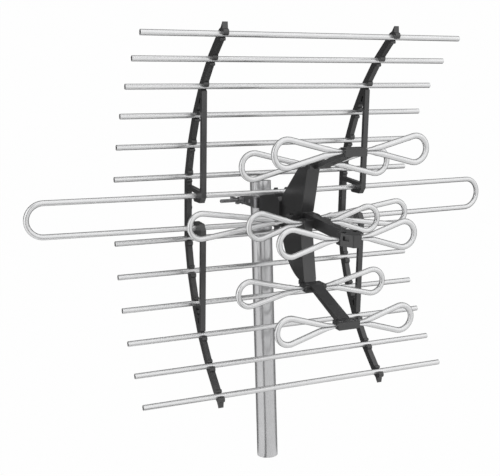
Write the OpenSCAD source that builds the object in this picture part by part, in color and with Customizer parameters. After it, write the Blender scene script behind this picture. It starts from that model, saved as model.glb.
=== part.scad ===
// Television aerial for the UHF and VHF bands, on a short mast.
// Millimetres. The origin is the centre of the mast's lower end, Z runs up the mast
// and the aerial points along -Y. Everything but the mast and its clamp is drawn level
// about the middle of the reflector, and then tipped nose down about the pivot bolt.

/* [Mast] */
// Outside diameter of the mast tube
mast_d = 33.4; // [30:0.1:36]
// Wall of the mast tube
mast_wall = 2; // [1.5:0.1:3]
// Length of the mast tube
mast_length = 452; // [440:1:600]
// Length of mast that stands above the clamp's pivot
mast_above = 35; // [25:0.5:70]

/* [Mast clamp] */
// Thickness of the clamp's sheet metal
jaw_t = 2.5; // [2:0.1:3]
// Height of the clamp jaws' tongues
jaw_h = 16; // [15:0.5:18]
// Air between the mast and the jaws, filled by the toothed grips
jaw_air = 1.5; // [1.2:0.1:2]
// Clearance between the grips' teeth and the mast
grip_gap = 0.25; // [0.1:0.05:0.4]
// Depth of the grips' teeth
tooth_h = 0.7; // [0.4:0.1:0.8]
// Diameter of the cross bolt behind the mast
clamp_bolt_d = 6; // [5:0.5:7]
// Reach of the threaded tail from the middle
clamp_bolt_tail = 60; // [50:1:70]
// Diameter of the pivot bolt in the housing
pivot_bolt_d = 5; // [4:0.5:6]
// Running clearance of a bolt in its hole, on the radius
bolt_gap = 0.15; // [0.1:0.05:0.3]

/* [Aim] */
// Nose-down tilt of the aerial on the mast, in degrees
tilt = 6; // [0:1:10]
// Distance from the mast's axis forward to the pivot bolt
pivot_reach = 36.2; // [35.6:0.1:38]

/* [Tubes] */
// Outside diameter of every aluminium tube
tube_d = 8; // [7:0.1:8.4]
// Wall of the tubes
tube_wall = 1; // [0.8:0.1:1.4]
// Clearance round a tube in its seat
tube_gap = 0.15; // [0.1:0.05:0.3]

/* [Reflector] */
// Length of a reflector rod
rod_length = 500; // [420:1:560]
// Distance between the two middle rods
middle_gap = 95; // [92:1:100]
// Distance between neighbouring rods along the arm
rod_pitch = 49.5; // [47:0.5:54]
// Lean of the first bay of the arm, in degrees
first_lean = 15; // [10:1:17]
// Extra lean of each further bay, in degrees
lean_step = 8; // [6:0.5:9]
// Distance between the middles of the two arms
arm_spacing = 269; // [200:1:320]
// Width of an arm
arm_w = 8; // [6:0.5:10]
// Depth of an arm from front to back
arm_depth = 11; // [10:0.5:13]
// Distance by which the rods lie in front of the arm's middle line
rod_set = 2.5; // [2:0.1:3]
// Depth of the straight strut in front of an arm
strut_depth = 6; // [5:0.5:7]

/* [Long loop] */
// Overall length of the long VHF loop
vhf_length = 774; // [700:1:820]
// Distance between its upper and lower tubes
vhf_pitch = 48; // [46:0.5:50]
// Distance of its middle in front of the middle rods
vhf_front = 44; // [42:0.5:46]
// Backward sweep of each half, in degrees
vhf_sweep = 2.75; // [1:0.25:4]
// Radius of the bend at its middle
vhf_bend = 60; // [40:5:90]
// Gap between its two open ends inside the housing
feed_gap = 14; // [10:1:16]

/* [Centre] */
// Width of the housing
housing_w = 28; // [26:0.5:32]
// Distance of the housing's back face behind the middle rods
housing_back = 6; // [4:0.5:6.5]
// Wall between the housing's cavity and the outside
housing_wall = 3; // [2:0.5:4]
// Width of the hub between the fins
hub_w = 18; // [16:0.5:20]
// Distance of the hub's front face in front of the middle rods
hub_front = 127; // [124:1:132]
// Width of the front boom
boom_w = 11; // [9:0.5:13]
// Height of the front boom
boom_h = 18; // [16:0.5:20]
// Distance of the boom's tip in front of the middle rods
boom_tip = 266; // [258:1:285]
// Drop of the boom from the hub to its tip
boom_drop = 7; // [3:0.5:9]
// Width of the boom's end face
end_w = 14; // [12:0.5:18]
// Length of the upper fin's end, front to back
upper_chord = 24; // [16:1:34]
// Length of the lower fin's end, front to back
lower_chord = 14; // [10:1:30]
// Width of the two fins
fin_w = 20; // [19:0.5:24]
// Thickness of the printed board
board_t = 1.6; // [1:0.1:2]

/* [Director loops] */
// Radius of a loop's rounded end, to the middle of the tube
lobe_r = 18; // [15:0.5:20]
// Reach of the wide rear loop from the middle
rear_reach = 181; // [150:1:200]
// Reach of the upper middle loop from the middle
top_rear_reach = 120; // [100:1:140]
// Reach of the upper front loop from the middle
top_front_reach = 119; // [100:1:140]
// Reach of the two short loops on the boom from the middle
boom_reach = 108; // [95:1:130]
// Reach of the lower middle loop from the middle
low_rear_reach = 122; // [100:1:140]
// Reach of the lower front loop from the middle
low_front_reach = 109; // [95:1:130]
// Distance of the wide rear loop in front of the middle rods
rear_plane = 114; // [112:1:115]
// Distance of the middle row of loops in front of the middle rods
middle_plane = 150; // [148:1:154]
// Distance of the front row of loops in front of the middle rods
front_plane = 246; // [240:1:250]
// Thickness of the pressed tongue at a loop's ends
tongue_t = 2.4; // [2:0.1:3]
// Width of the pressed tongue
tongue_w = 7; // [6:0.5:8]

/* [Loop holders] */
// Half width of the holders on the director arms
holder_half = 16.5; // [15:0.5:20]
// Half width of the holder at the wide rear loop
rear_half = 26; // [24:0.5:28]
// Half width of the holder at the middle of the boom
boom_half = 21; // [19:0.5:23]
// Thickness of a holder's jaw
holder_t = 6; // [5:0.5:7]
// Thickness of a holder's cap
cap_t = 5; // [4.5:0.5:6]
// Half depth of a holder
holder_y = 9; // [8:0.5:10]
// Width of the director arms
director_w = 19; // [16:0.5:22]
// Height of the middle loops above the hub's middle
rear_rise = 90; // [88:1:96]
// Height of the front loops above the hub's middle
front_rise = 118; // [112:1:124]
// Diameter of the small screws
screw_d = 3; // [2.5:0.5:3]

/* [Output socket] */
// Diameter of the coaxial socket's thread
socket_d = 9.5; // [9:0.1:10]
// Length of the socket's free thread below its nut
socket_length = 11; // [8:0.5:14]

/* [Hidden] */

$fn = 48;
black = [0.2, 0.2, 0.21];
aluminium = [0.86, 0.87, 0.88];
zinc = [0.5, 0.5, 0.52];
mast_metal = [0.75, 0.75, 0.76];
cut = 0.01;
far = 400;

mast_r = mast_d / 2;
clamp_height = mast_length - mast_above;
tube_r = tube_d / 2;
seat_r = tube_r + tube_gap;
clamp_bolt_r = clamp_bolt_d / 2;
pivot_r = pivot_bolt_d / 2;
screw_r = screw_d / 2;
screw_gap = 0.1;
head_r = screw_r + 1.6;
head_t = 2;
face_gap = 0.3;

// The level frame of the aerial against the mast: the pivot bolt is common to both.
level_back = 29.2;
pivot_y = level_back - pivot_reach;
pivot_z = -0.5;
hub_z = -10;

// Places of the rods on the upper half, the first being the outermost.
function lean(i) = first_lean + lean_step * (5 - i);
function rod_place(i) = i == 6 ? [0, middle_gap / 2]
    : rod_place(i + 1) + rod_pitch * [-sin(lean(i)), cos(lean(i))];
function along(i) = i == 6 ? [0, 1] : [-sin(lean(i)), cos(lean(i))];
function forward(t) = [-t[1], t[0]];
function rod_tangent(i) = let (a = along(i) + along(max(i - 1, 1))) a / norm(a);

// Puts a level piece on the mast.
module aim() {
    translate([0, -pivot_reach, clamp_height]) rotate([tilt, 0, 0])
        translate([0, -pivot_y, -pivot_z]) children();
}

// Extrudes a side view, drawn as [y, z], to a width about the middle.
module side_plate(w) {
    rotate([90, 0, 90]) linear_extrude(height = w, center = true) children();
}

module bar_along_x(r, from, to) {
    translate([from, 0, 0]) rotate([0, 90, 0]) cylinder(r = r, h = to - from);
}

module block(x0, x1, y0, y1, z0, z1) {
    translate([x0, y0, z0]) cube([x1 - x0, y1 - y0, z1 - z0]);
}

module for_both_sides() {
    for (s = [0, 1]) mirror([s, 0, 0]) children();
}

module lower_side() {
    translate([0, 0, hub_z]) mirror([0, 0, 1]) children();
}

module upper_side() {
    translate([0, 0, hub_z]) children();
}

// Mast and clamp

module mast() {
    color(mast_metal) difference() {
        cylinder(r = mast_r, h = mast_length, $fn = 96);
        translate([0, 0, -cut]) cylinder(r = mast_r - mast_wall, h = mast_length + 2 * cut, $fn = 96);
    }
}

jaw_in = mast_r + jaw_air;
jaw_out = jaw_in + jaw_t;
tongue_gap = 0.2;
jaw_tail = 34;
cross_y = mast_r + clamp_bolt_r + 4.3;
nose_r = jaw_h / 2;
jaw_tail_h = 11;
cross_rise = 3.5;
jaw_shoulder = 7.5;
jaw_front = -29;
jaw_back = 13;
chamfer = 3;

// Plan of the right-hand jaw: a tongue in the housing, a step in front of the mast
// and a long side beside it, bent from one strip.
module jaw_plan() {
    polygon([[tongue_gap, -pivot_reach - nose_r], [tongue_gap + jaw_t, -pivot_reach - nose_r],
        [tongue_gap + jaw_t, -jaw_out], [jaw_out - chamfer, -jaw_out],
        [jaw_out, -jaw_out + chamfer], [jaw_out, jaw_tail], [jaw_in, jaw_tail],
        [jaw_in, -jaw_in + chamfer - 1], [jaw_in - chamfer + 1, -jaw_in],
        [tongue_gap, -jaw_in]]);
}

module jaw_side_view() {
    translate([-pivot_reach, 0]) circle(r = nose_r);
    polygon([[-pivot_reach, -nose_r], [jaw_front, -nose_r], [jaw_tail, cross_rise - jaw_tail_h / 2],
        [jaw_tail, cross_rise + jaw_tail_h / 2], [jaw_back, cross_rise + jaw_shoulder],
        [-jaw_back, cross_rise + jaw_shoulder], [jaw_front, nose_r], [-pivot_reach, nose_r]]);
}

module clamp_jaw() {
    difference() {
        intersection() {
            translate([0, 0, -jaw_h]) linear_extrude(height = 2 * jaw_h) jaw_plan();
            side_plate(4 * jaw_out) jaw_side_view();
        }
        translate([0, cross_y, cross_rise]) bar_along_x(clamp_bolt_r + bolt_gap, 0, far);
        translate([0, -pivot_reach, 0]) bar_along_x(pivot_r + bolt_gap, -cut, 2 * jaw_t);
        translate([0, 0, cross_rise]) bar_along_x(rivet_r + bolt_gap, 0, far);
    }
}

module clamp_jaw_right() {
    color(zinc) translate([0, 0, clamp_height]) clamp_jaw();
}

module clamp_jaw_left() {
    color(zinc) translate([0, 0, clamp_height]) mirror([1, 0, 0]) clamp_jaw();
}

grip_half = 36;
grip_low = -4;
grip_h = 13.5;
grip_teeth = 9;

// A toothed shoe between a jaw and the mast.
module grip_plan() {
    n = 2 * grip_teeth;
    inner = mast_r + grip_gap;
    polygon(concat([[jaw_in, -jaw_in * tan(grip_half) * 0.8], [jaw_in, jaw_in * tan(grip_half) * 0.8]],
        [for (i = [0 : n]) let (a = grip_half - 2 * grip_half * i / n,
            r = inner + (i % 2 == 0 ? 0 : tooth_h)) [r * cos(a), r * sin(a)]]));
}

module clamp_grips() {
    color(zinc) translate([0, 0, clamp_height]) for_both_sides()
        translate([0, 0, grip_low]) linear_extrude(height = grip_h) grip_plan();
}

rivet_r = 2;
rivet_head_r = 4;
rivet_head_t = 1.8;

module clamp_rivets() {
    color(zinc) translate([0, 0, clamp_height + cross_rise]) for_both_sides() {
        bar_along_x(rivet_r, jaw_in, jaw_out + cut);
        difference() {
            bar_along_x(rivet_head_r, jaw_out, jaw_out + rivet_head_t);
            bar_along_x(rivet_r, jaw_out + rivet_head_t - 0.8, far);
        }
    }
}

washer_t = 1.6;
washer_r = 7;
hex_t = 4.2;
hex_r = 5.8;

module clamp_bolt() {
    color(zinc) translate([0, cross_y, clamp_height + cross_rise]) {
        bar_along_x(clamp_bolt_r, -clamp_bolt_tail, jaw_out + washer_t + cut);
        translate([jaw_out + washer_t, 0, 0]) rotate([0, 90, 0]) cylinder(r = hex_r, h = hex_t, $fn = 6);
    }
}

module clamp_washers() {
    color(zinc) translate([0, cross_y, clamp_height + cross_rise]) for_both_sides() difference() {
        bar_along_x(washer_r, jaw_out, jaw_out + washer_t);
        bar_along_x(clamp_bolt_r + bolt_gap, jaw_out - cut, jaw_out + washer_t + cut);
    }
}

wing_hub_r = 5.5;
wing_hub_t = 7;
wing_t = 2.4;
wing_turn = 109;

module wing_outline() {
    polygon([[0, 2], [3, 3], [7, 10], [11, 13.5], [15, 13.5], [16.5, 10.5],
        [13.5, 6.5], [9.5, 4], [wing_hub_t, 2]]);
}

module clamp_wing_nut() {
    color(zinc) translate([-jaw_out - washer_t, cross_y, clamp_height + cross_rise])
        rotate([wing_turn, 0, 0])
        mirror([1, 0, 0]) difference() {
            union() {
                bar_along_x(wing_hub_r, 0, wing_hub_t);
                for (s = [0, 1]) mirror([0, 0, s]) translate([0, wing_t / 2, 0])
                    rotate([90, 0, 0]) linear_extrude(height = wing_t) wing_outline();
            }
            bar_along_x(clamp_bolt_r + bolt_gap, -cut, far);
        }
}

// Centre housing

cheek = housing_w / 2;
slot_half = tongue_gap + jaw_t + face_gap;
slot_r = nose_r + 0.6;
fin_back = 64;
hub_top = 7;
hub_low = -24;
belly = -29;
rear_top = 11;
rear_low = -16;
top_slope_y = -36;
vhf_top = vhf_pitch / 2;
vhf_y = -vhf_front;
pivot_head_r = 4.6;
pivot_head_t = 4;
pivot_blind = 11.5;

module rear_box_view() {
    polygon([[housing_back, rear_low], [housing_back, rear_top - 2], [housing_back - 2, rear_top],
        [top_slope_y, vhf_top - tube_r - 1], [-fin_back + 6, vhf_top - tube_r - 1],
        [-fin_back, vhf_top - tube_r - 7], [-fin_back, hub_low], [vhf_y - 9, belly], [-8, belly]]);
}

module hub_view() {
    polygon([[-fin_back + cut, hub_low], [-fin_back + cut, hub_top], [-hub_front, hub_top],
        [-hub_front, hub_low + 3], [-hub_front + 3, hub_low]]);
}

// A straight length enters the bend next to it by a little and is a touch thinner.
leg_in = 0.5;
leg_step = 0.03;

// Places of the loop's tubes: the straight halves start at the ends of the middle bend.
module vhf_half_frame() {
    translate([0, vhf_y + vhf_bend, 0]) rotate([0, 0, vhf_sweep]) translate([0, -vhf_bend, 0]) children();
}

vhf_run = (vhf_length / 2 - vhf_bend * sin(vhf_sweep)) / cos(vhf_sweep) - vhf_pitch / 2 - tube_r;

module vhf_upper_bend(r) {
    translate([0, vhf_y + vhf_bend, vhf_top]) rotate([0, 0, -90 - vhf_sweep])
        rotate_extrude(angle = 2 * vhf_sweep, $fn = 96) translate([vhf_bend, 0]) circle(r = r);
}

module vhf_straights(r, low_start) {
    for_both_sides() vhf_half_frame() {
        translate([0, 0, vhf_top]) bar_along_x(r, -leg_in, vhf_run + leg_in);
        translate([0, 0, -vhf_top]) bar_along_x(r, low_start, vhf_run + leg_in);
    }
}

module vhf_path(r, low_start) {
    vhf_straights(r - leg_step, low_start);
    vhf_upper_bend(r);
    for_both_sides() vhf_half_frame() translate([vhf_run, 0, 0]) rotate([90, 0, 0])
        rotate([0, 0, -90]) rotate_extrude(angle = 180) translate([vhf_top, 0]) circle(r = r);
}

finger_x = 9;
finger_w = 5;
finger_t = 2.2;

// Seat of the upper tube on the housing, with two snap fingers behind it.
module vhf_saddle() {
    difference() {
        union() {
            side_plate(housing_w) polygon([[vhf_y + 9, vhf_top - tube_r - 2], [vhf_y + 8, vhf_top - 1],
                [vhf_y - 8, vhf_top - 1], [vhf_y - 9, vhf_top - tube_r - 2]]);
            for_both_sides() translate([finger_x, 0, 0]) side_plate(finger_w)
                polygon([[vhf_y + seat_r + 0.2, vhf_top - 4], [vhf_y + seat_r + finger_t, vhf_top - 4],
                    [vhf_y + seat_r + finger_t, vhf_top + 3], [vhf_y + 3, vhf_top + seat_r + finger_t],
                    [vhf_y + 0.5, vhf_top + seat_r + finger_t], [vhf_y + 0.5, vhf_top + seat_r]]);
        }
        vhf_seat();
    }
}

module vhf_seat() {
    vhf_upper_bend(seat_r);
    vhf_straights(seat_r - leg_step, feed_gap / 2 - face_gap);
}

cavity_back = 22;
cavity_front = 52;
cavity_low = -17;
cavity_top = 14;
board_x = -2;
cover_t = 3;
cover_x = cheek - cover_t;
cover_lip = 7;

module cavity() {
    block(-cheek + housing_wall, cover_x + cut, -cavity_front + 2, -cavity_back - 2,
        cavity_low + 2, cavity_top - 2);
    block(board_x, cover_x + cut, -cavity_front, -cavity_back, cavity_low, cavity_top);
    block(cover_x, far, -cavity_front - cover_lip, -cavity_back + cover_lip,
        cavity_low - 1, cavity_top + 1);
}

cover_screw_y = [-cavity_back + cover_lip / 2, -cavity_front - cover_lip / 2];
cover_screw_z = (cavity_low + cavity_top) / 2;

module at_cover_screws() {
    for (y = cover_screw_y) translate([0, y, cover_screw_z]) children();
}

socket_y = -30;
socket_r = socket_d / 2;
socket_in = 5;

// The slot lets the clamp's tongues swing about the pivot bolt.
module pivot_slot() {
    translate([0, pivot_y, pivot_z]) {
        bar_along_x(slot_r, -slot_half, slot_half);
        block(-slot_half, slot_half, 0, far, -far, far);
        bar_along_x(pivot_r + bolt_gap, -pivot_blind, far);
        bar_along_x(pivot_head_r + face_gap, cheek - pivot_head_t, far);
    }
}

tongue_end = 14;
screw_in = 8;

// Slots and screw holes of a holder that is in one piece with what carries it.
module side_slots(half, y, z) {
    for_both_sides() translate([0, -y, z]) {
        block(half - tongue_end - face_gap, half + cut, -tongue_w / 2 - tube_gap,
            tongue_w / 2 + tube_gap, -tongue_t / 2 - tube_gap / 2, tongue_t / 2 + tube_gap / 2);
        translate([half - screw_in, 0, 0]) screw_hole(holder_t - 1, holder_t);
    }
}

// A hole for a small screw whose head lies below the top face.
module screw_hole(up, down) {
    translate([0, 0, -down]) cylinder(r = screw_r + screw_gap, h = up + down + 1);
    translate([0, 0, up - head_t]) cylinder(r = head_r + face_gap, h = head_t + 5);
}

module side_holder(half, y, z) {
    block(-half, half, -y - holder_y, -y + holder_y, z - holder_t - 1, z + holder_t - 1);
}

knob_r = 7.2;
knob_rise = 1.5;
rear_z = -6;
middle_z = -4;
nose_z = -9;

// Round knobs over the screws of the wide rear loop.
module rear_knobs() {
    for_both_sides() translate([rear_half - screw_in, -rear_plane, rear_z + knob_rise])
        rotate([90, 0, 0]) translate([0, 0, -holder_y + 0.5]) cylinder(r = knob_r, h = 2 * holder_y - 1);
}

module centre_housing() {
    color(black) aim() difference() {
        union() {
            side_plate(housing_w) rear_box_view();
            side_plate(hub_w) hub_view();
            vhf_saddle();
            side_holder(rear_half, rear_plane, rear_z);
            rear_knobs();
        }
        vhf_seat();
        cavity();
        at_cover_screws() bar_along_x(screw_r + screw_gap, cover_x - 6, far);
        pivot_slot();
        side_slots(rear_half, rear_plane, rear_z);
        translate([0, socket_y, 0]) {
            translate([0, 0, belly - cut]) cylinder(r = socket_r + bolt_gap, h = socket_in + 8);
        }
        boom_spigot(tube_gap);
    }
}

module housing_cover() {
    color(black) aim() difference() {
        block(cover_x, cheek, -cavity_front - cover_lip + tube_gap, -cavity_back + cover_lip - tube_gap,
            cavity_low - 1 + tube_gap, cavity_top + 1 - tube_gap);
        at_cover_screws() {
            bar_along_x(screw_r + screw_gap, 0, far);
            bar_along_x(head_r + face_gap, cheek - head_t + 0.4, far);
        }
    }
}

module cover_screws() {
    color(zinc) aim() at_cover_screws() {
        bar_along_x(screw_r, cover_x - 5.5, cheek - head_t + 0.4 + cut);
        bar_along_x(head_r, cheek - head_t + 0.4, cheek - 0.4);
    }
}

core_t = 5;
core_size = 12;

// The board carries one square ferrite core.
module balun_board() {
    color([0.1, 0.35, 0.2]) aim() {
        block(board_x, board_x + board_t, -cavity_front + tube_gap, -cavity_back - tube_gap,
            cavity_low + tube_gap, cavity_top - tube_gap);
        translate([board_x + board_t, vhf_y + 4, 0])
            block(0, core_t, -core_size / 2, core_size / 2, -core_size / 2, core_size / 2);
    }
}

module pivot_bolt() {
    color(zinc) aim() translate([0, pivot_y, pivot_z]) {
        bar_along_x(pivot_r, -pivot_blind + face_gap, cheek - pivot_head_t + cut);
        bar_along_x(pivot_head_r, cheek - pivot_head_t, cheek - 0.5);
    }
}

nut_t = 3;
nut_r = socket_r + 2.6;
socket_bore_r = 2.6;

module output_socket() {
    color(zinc) aim() translate([0, socket_y, 0]) difference() {
        translate([0, 0, belly - nut_t - socket_length])
            cylinder(r = socket_r, h = socket_length + nut_t + socket_in);
        translate([0, 0, belly - nut_t - socket_length - cut]) cylinder(r = socket_bore_r, h = socket_length);
    }
}

module socket_nut() {
    color(zinc) aim() translate([0, socket_y, belly - nut_t]) difference() {
        cylinder(r = nut_r, h = nut_t, $fn = 6);
        translate([0, 0, -cut]) cylinder(r = socket_r + bolt_gap, h = nut_t + 2 * cut);
    }
}

// Front boom

boom_start_z = hub_z + 9;
boom_end_z = boom_start_z - boom_drop;
nose_y = front_plane - 1.5;
end_run = 17;
end_back = front_plane - end_run;
end_wing = 5.5;
end_round = 3.5;
end_pocket = 1.2;
spigot_in = 12;

function boom_z(y) = boom_start_z - boom_drop * (y - hub_front) / (boom_tip - hub_front);

module boom_view() {
    polygon([[-hub_front, boom_start_z - boom_h / 2], [-hub_front, boom_start_z + boom_h / 2 - 2],
        [-nose_y, boom_z(nose_y) + boom_h / 2 - 2], [-nose_y, boom_z(nose_y) - boom_h / 2]]);
}

// Plan of the end block: a bow whose wings hold the front loop.
module end_plan() {
    half = end_w / 2;
    round = [half - end_round, -boom_tip + end_round];
    bow = [for (a = [0 : 22.5 : 90]) round + end_round * [sin(a), -cos(a)]];
    side = concat(bow, [[holder_half, -nose_y - end_wing], [holder_half, -nose_y + end_wing],
        [boom_w / 2 - 1, -end_back]]);
    n = len(side) - 1;
    polygon(concat(side, [for (i = [n : -1 : 0]) [-side[i][0], side[i][1]]]));
}

// The block lies flush with the boom but for a fine step.
module boom_end() {
    intersection() {
        side_plate(4 * end_w) polygon([[-end_back, boom_z(end_back) - boom_h / 2 - 0.4],
            [-end_back, boom_z(end_back) + boom_h / 2 - 1.6], [-boom_tip, boom_end_z + boom_h / 2 - 1.6],
            [-boom_tip, boom_end_z - boom_h / 2 - 0.4]]);
        translate([0, 0, -far / 4]) linear_extrude(height = far / 2) end_plan();
    }
}

// Shallow pockets in the block's slanting faces.
module end_pockets() {
    wing = [holder_half, -nose_y - end_wing];
    face = wing - [end_w / 2, -boom_tip + end_round];
    for_both_sides() translate([wing[0] - face[0] / 2, wing[1] - face[1] / 2, boom_end_z])
        rotate([0, 0, atan2(face[1], face[0])]) block(-4.5, 4.5, -end_pocket, 4, -1, 5);
}

module boom_spigot(gap) {
    block(-boom_w / 2 + 2 - gap, boom_w / 2 - 2 + gap, -hub_front - cut, -hub_front + spigot_in + gap,
        boom_start_z - boom_h / 2 + 4 - gap, boom_start_z + boom_h / 2 - 6 + gap);
}

module front_boom() {
    color(black) aim() difference() {
        union() {
            side_plate(boom_w) boom_view();
            boom_end();
            boom_spigot(0);
            side_holder(boom_half, middle_plane, middle_z);
        }
        end_pockets();
        side_slots(boom_half, middle_plane, middle_z);
        side_slots(holder_half, nose_y, nose_z);
    }
}

// Fins

fin_root_up = hub_top - hub_z;
fin_root_down = hub_z - hub_low;
fin_foot = rear_rise - holder_t;
fin_lean = 15;
fin_rise = 14;
fin_bulge = 20;

// Curve from the first point to the last, drawn towards the middle one.
function fin_curve(t, p0, p1, p2) = (1 - t) * (1 - t) * p0 + 2 * t * (1 - t) * p1 + t * t * p2;

// A fin's end: its rear corner, for a given length front to back.
function fin_heel(chord) = [-hub_front - fin_lean + chord, fin_foot];

module fin(root, rear_edge) {
    difference() {
        side_plate(fin_w) polygon(concat([[-hub_front, root], [-fin_back, root]], rear_edge,
            [[-hub_front - fin_lean, fin_foot]]));
        for_both_sides() block(fin_w / 2 - 0.6, far, -hub_front - fin_lean, -hub_front - fin_lean + 8,
            fin_foot - 3, fin_foot + 1);
    }
}

module upper_fin() {
    color(black) aim() upper_side()
        fin(fin_root_up, [[-fin_back, fin_root_up + fin_rise], fin_heel(upper_chord)]);
}

module lower_fin() {
    start = [-fin_back, fin_root_down + fin_rise / 2];
    mid = [-fin_back - fin_bulge, fin_foot - 9];
    color(black) aim() lower_side() fin(fin_root_down,
        [for (i = [0 : 12]) fin_curve(i / 12, start, mid, fin_heel(lower_chord))]);
}

// Director arms and their holders

base_back = 124;
base_front = middle_plane + holder_y + 2;
front_back = front_plane - holder_y;

// The holder's jaw faces the cap, away from the hub.
module director_arm() {
    difference() {
        union() {
            block(-holder_half, holder_half, -base_front, -middle_plane + holder_y + 2,
                rear_rise - holder_t, rear_rise);
            block(-fin_w / 2, fin_w / 2, -base_front, -base_back, rear_rise - holder_t, rear_rise);
            block(-holder_half, holder_half, -front_plane - holder_y, -front_back,
                front_rise - holder_t, front_rise);
            side_plate(director_w) polygon([[-base_front + 4, rear_rise - holder_t],
                [-base_front + 4, rear_rise], [-base_front, rear_rise],
                [-front_back, front_rise], [-front_back - 3, front_rise],
                [-front_back - 3, front_rise - holder_t], [-front_back, front_rise - holder_t - 1.5],
                [-base_front, rear_rise - holder_t]]);
        }
        at_arm_holders() for_both_sides() {
            tongue_seat();
            translate([holder_half - screw_in, 0, 0]) mirror([0, 0, 1]) screw_hole(holder_t, 1);
        }
    }
}

module at_arm_holders() {
    translate([0, -middle_plane, rear_rise]) children();
    translate([0, -front_plane, front_rise]) children();
}

module tongue_seat() {
    block(holder_half - tongue_end - face_gap, holder_half + cut, -tongue_w / 2 - tube_gap,
        tongue_w / 2 + tube_gap, -tongue_t / 2 - tube_gap / 2, tongue_t / 2 + tube_gap / 2);
}

module upper_director_arm() {
    color(black) aim() upper_side() director_arm();
}

module lower_director_arm() {
    color(black) aim() lower_side() director_arm();
}

module holder_cap() {
    difference() {
        union() {
            block(-holder_half, holder_half, -holder_y, holder_y, 0, cap_t - 1.5);
            block(-holder_half + 1.5, holder_half - 1.5, -holder_y + 1.5, holder_y - 1.5, 0, cap_t);
        }
        for_both_sides() {
            tongue_seat();
            translate([holder_half - screw_in, 0, -cut]) cylinder(r = screw_r + screw_gap, h = cap_t - 1);
        }
    }
}

module holder_caps() {
    color(black) aim() {
        upper_side() at_arm_holders() holder_cap();
        lower_side() at_arm_holders() holder_cap();
    }
}

module loop_screw(up, down) {
    translate([0, 0, -down]) cylinder(r = screw_r, h = down + up - head_t + cut);
    translate([0, 0, up - head_t]) cylinder(r = head_r, h = head_t - 0.4);
}

module side_screws(half, y, z) {
    for_both_sides() translate([half - screw_in, -y, z]) loop_screw(holder_t - 1, holder_t - 0.5);
}

module loop_screws() {
    color(zinc) aim() {
        side_screws(rear_half, rear_plane, rear_z);
        side_screws(boom_half, middle_plane, middle_z);
        side_screws(holder_half, nose_y, nose_z);
        for (up = [0, 1]) translate([0, 0, hub_z]) mirror([0, 0, up]) at_arm_holders() for_both_sides()
            translate([holder_half - screw_in, 0, 0]) mirror([0, 0, 1]) loop_screw(holder_t, cap_t - 1.5);
    }
}

// Director loops

point_run = 9;

// Right-hand loop of a pair. The tube's two ends are pressed together into one tongue.
module lobe(reach, half) {
    centre = reach - tube_r - lobe_r;
    meet = half + point_run;
    spread = asin(lobe_r / (centre - meet));
    leg = sqrt(pow(centre - meet, 2) - pow(lobe_r, 2));
    translate([centre, 0, 0]) rotate([90, 0, 0]) rotate([0, 0, -90 - spread])
        rotate_extrude(angle = 180 + 2 * spread) translate([lobe_r, 0]) circle(r = tube_r);
    for (s = [0, 1]) mirror([0, 0, s]) intersection() {
        translate([meet, 0, 0]) rotate([0, -spread, 0]) bar_along_x(tube_r - leg_step, 0, leg + leg_in);
        block(half, reach, -2 * tube_r, 2 * tube_r, 0, 3 * lobe_r);
    }
    difference() {
        rotate([90, 0, 0]) linear_extrude(height = tongue_w, center = true) tongue_view(half, meet);
        translate([half - screw_in, 0, -tongue_t]) cylinder(r = screw_r + screw_gap, h = 2 * tongue_t);
    }
}

module tongue_view(half, meet) {
    t = tongue_t / 2;
    w = tube_r - 0.6;
    polygon([[half - tongue_end, -t], [half + 0.2, -t], [meet, -w], [meet + 6, -w],
        [meet + 6, w], [meet, w], [half + 0.2, t], [half - tongue_end, t]]);
}

module loop_side(left, reach, half, plane, z) {
    color(aluminium) aim() translate([0, -plane, z]) mirror([left, 0, 0]) lobe(reach, half);
}

upper_z = hub_z + rear_rise;
upper_front_z = hub_z + front_rise;
lower_z = hub_z - rear_rise;
lower_front_z = hub_z - front_rise;

module rear_loop(left) { loop_side(left, rear_reach, rear_half, rear_plane, rear_z); }
module boom_loop(left) { loop_side(left, boom_reach, boom_half, middle_plane, middle_z); }
module nose_loop(left) { loop_side(left, boom_reach, holder_half, nose_y, nose_z); }
module upper_middle_loop(left) { loop_side(left, top_rear_reach, holder_half, middle_plane, upper_z); }
module upper_front_loop(left) { loop_side(left, top_front_reach, holder_half, front_plane, upper_front_z); }
module lower_middle_loop(left) { loop_side(left, low_rear_reach, holder_half, middle_plane, lower_z); }
module lower_front_loop(left) { loop_side(left, low_front_reach, holder_half, front_plane, lower_front_z); }

module vhf_loop() {
    color(aluminium) aim() difference() {
        vhf_path(tube_r, feed_gap / 2);
        vhf_path(tube_r - tube_wall, feed_gap / 2 - 1);
    }
}

// Reflector rods and arms

module reflector_rod(i) {
    p = i <= 6 ? rod_place(i) : rod_place(13 - i);
    z = i <= 6 ? p[1] : -p[1];
    color(aluminium) aim() translate([0, p[0], z]) difference() {
        bar_along_x(tube_r, -rod_length / 2, rod_length / 2);
        bar_along_x(tube_r - tube_wall, -rod_length / 2 - cut, rod_length / 2 + cut);
    }
}

function arm_point(i) = rod_place(i) - rod_set * forward(rod_tangent(i));

module bay(from, to, w) {
    d = to - from;
    translate(from) rotate(atan2(d[1], d[0])) translate([0, -w / 2]) square([norm(d), w]);
}

lap = 12;
lug_r = 4.6;
lip_r = 2.4;
tip_rise = 16;
tip_step = 6;

module rod_hook(i) {
    t = rod_tangent(i);
    n = forward(t);
    p = rod_place(i);
    translate(p + 6.8 * t + 3 * n) circle(r = lug_r);
    bay(p + 2 * t, p + 6.8 * t + 3 * n, 2 * lug_r - 2);
    translate(p - 6.2 * t + 3.2 * n) circle(r = lip_r);
}

module rod_notch(i) {
    n = forward(rod_tangent(i));
    p = rod_place(i);
    translate(p) circle(r = seat_r);
    bay(p, p + 12 * n, 2 * seat_r - 0.8);
}

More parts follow.
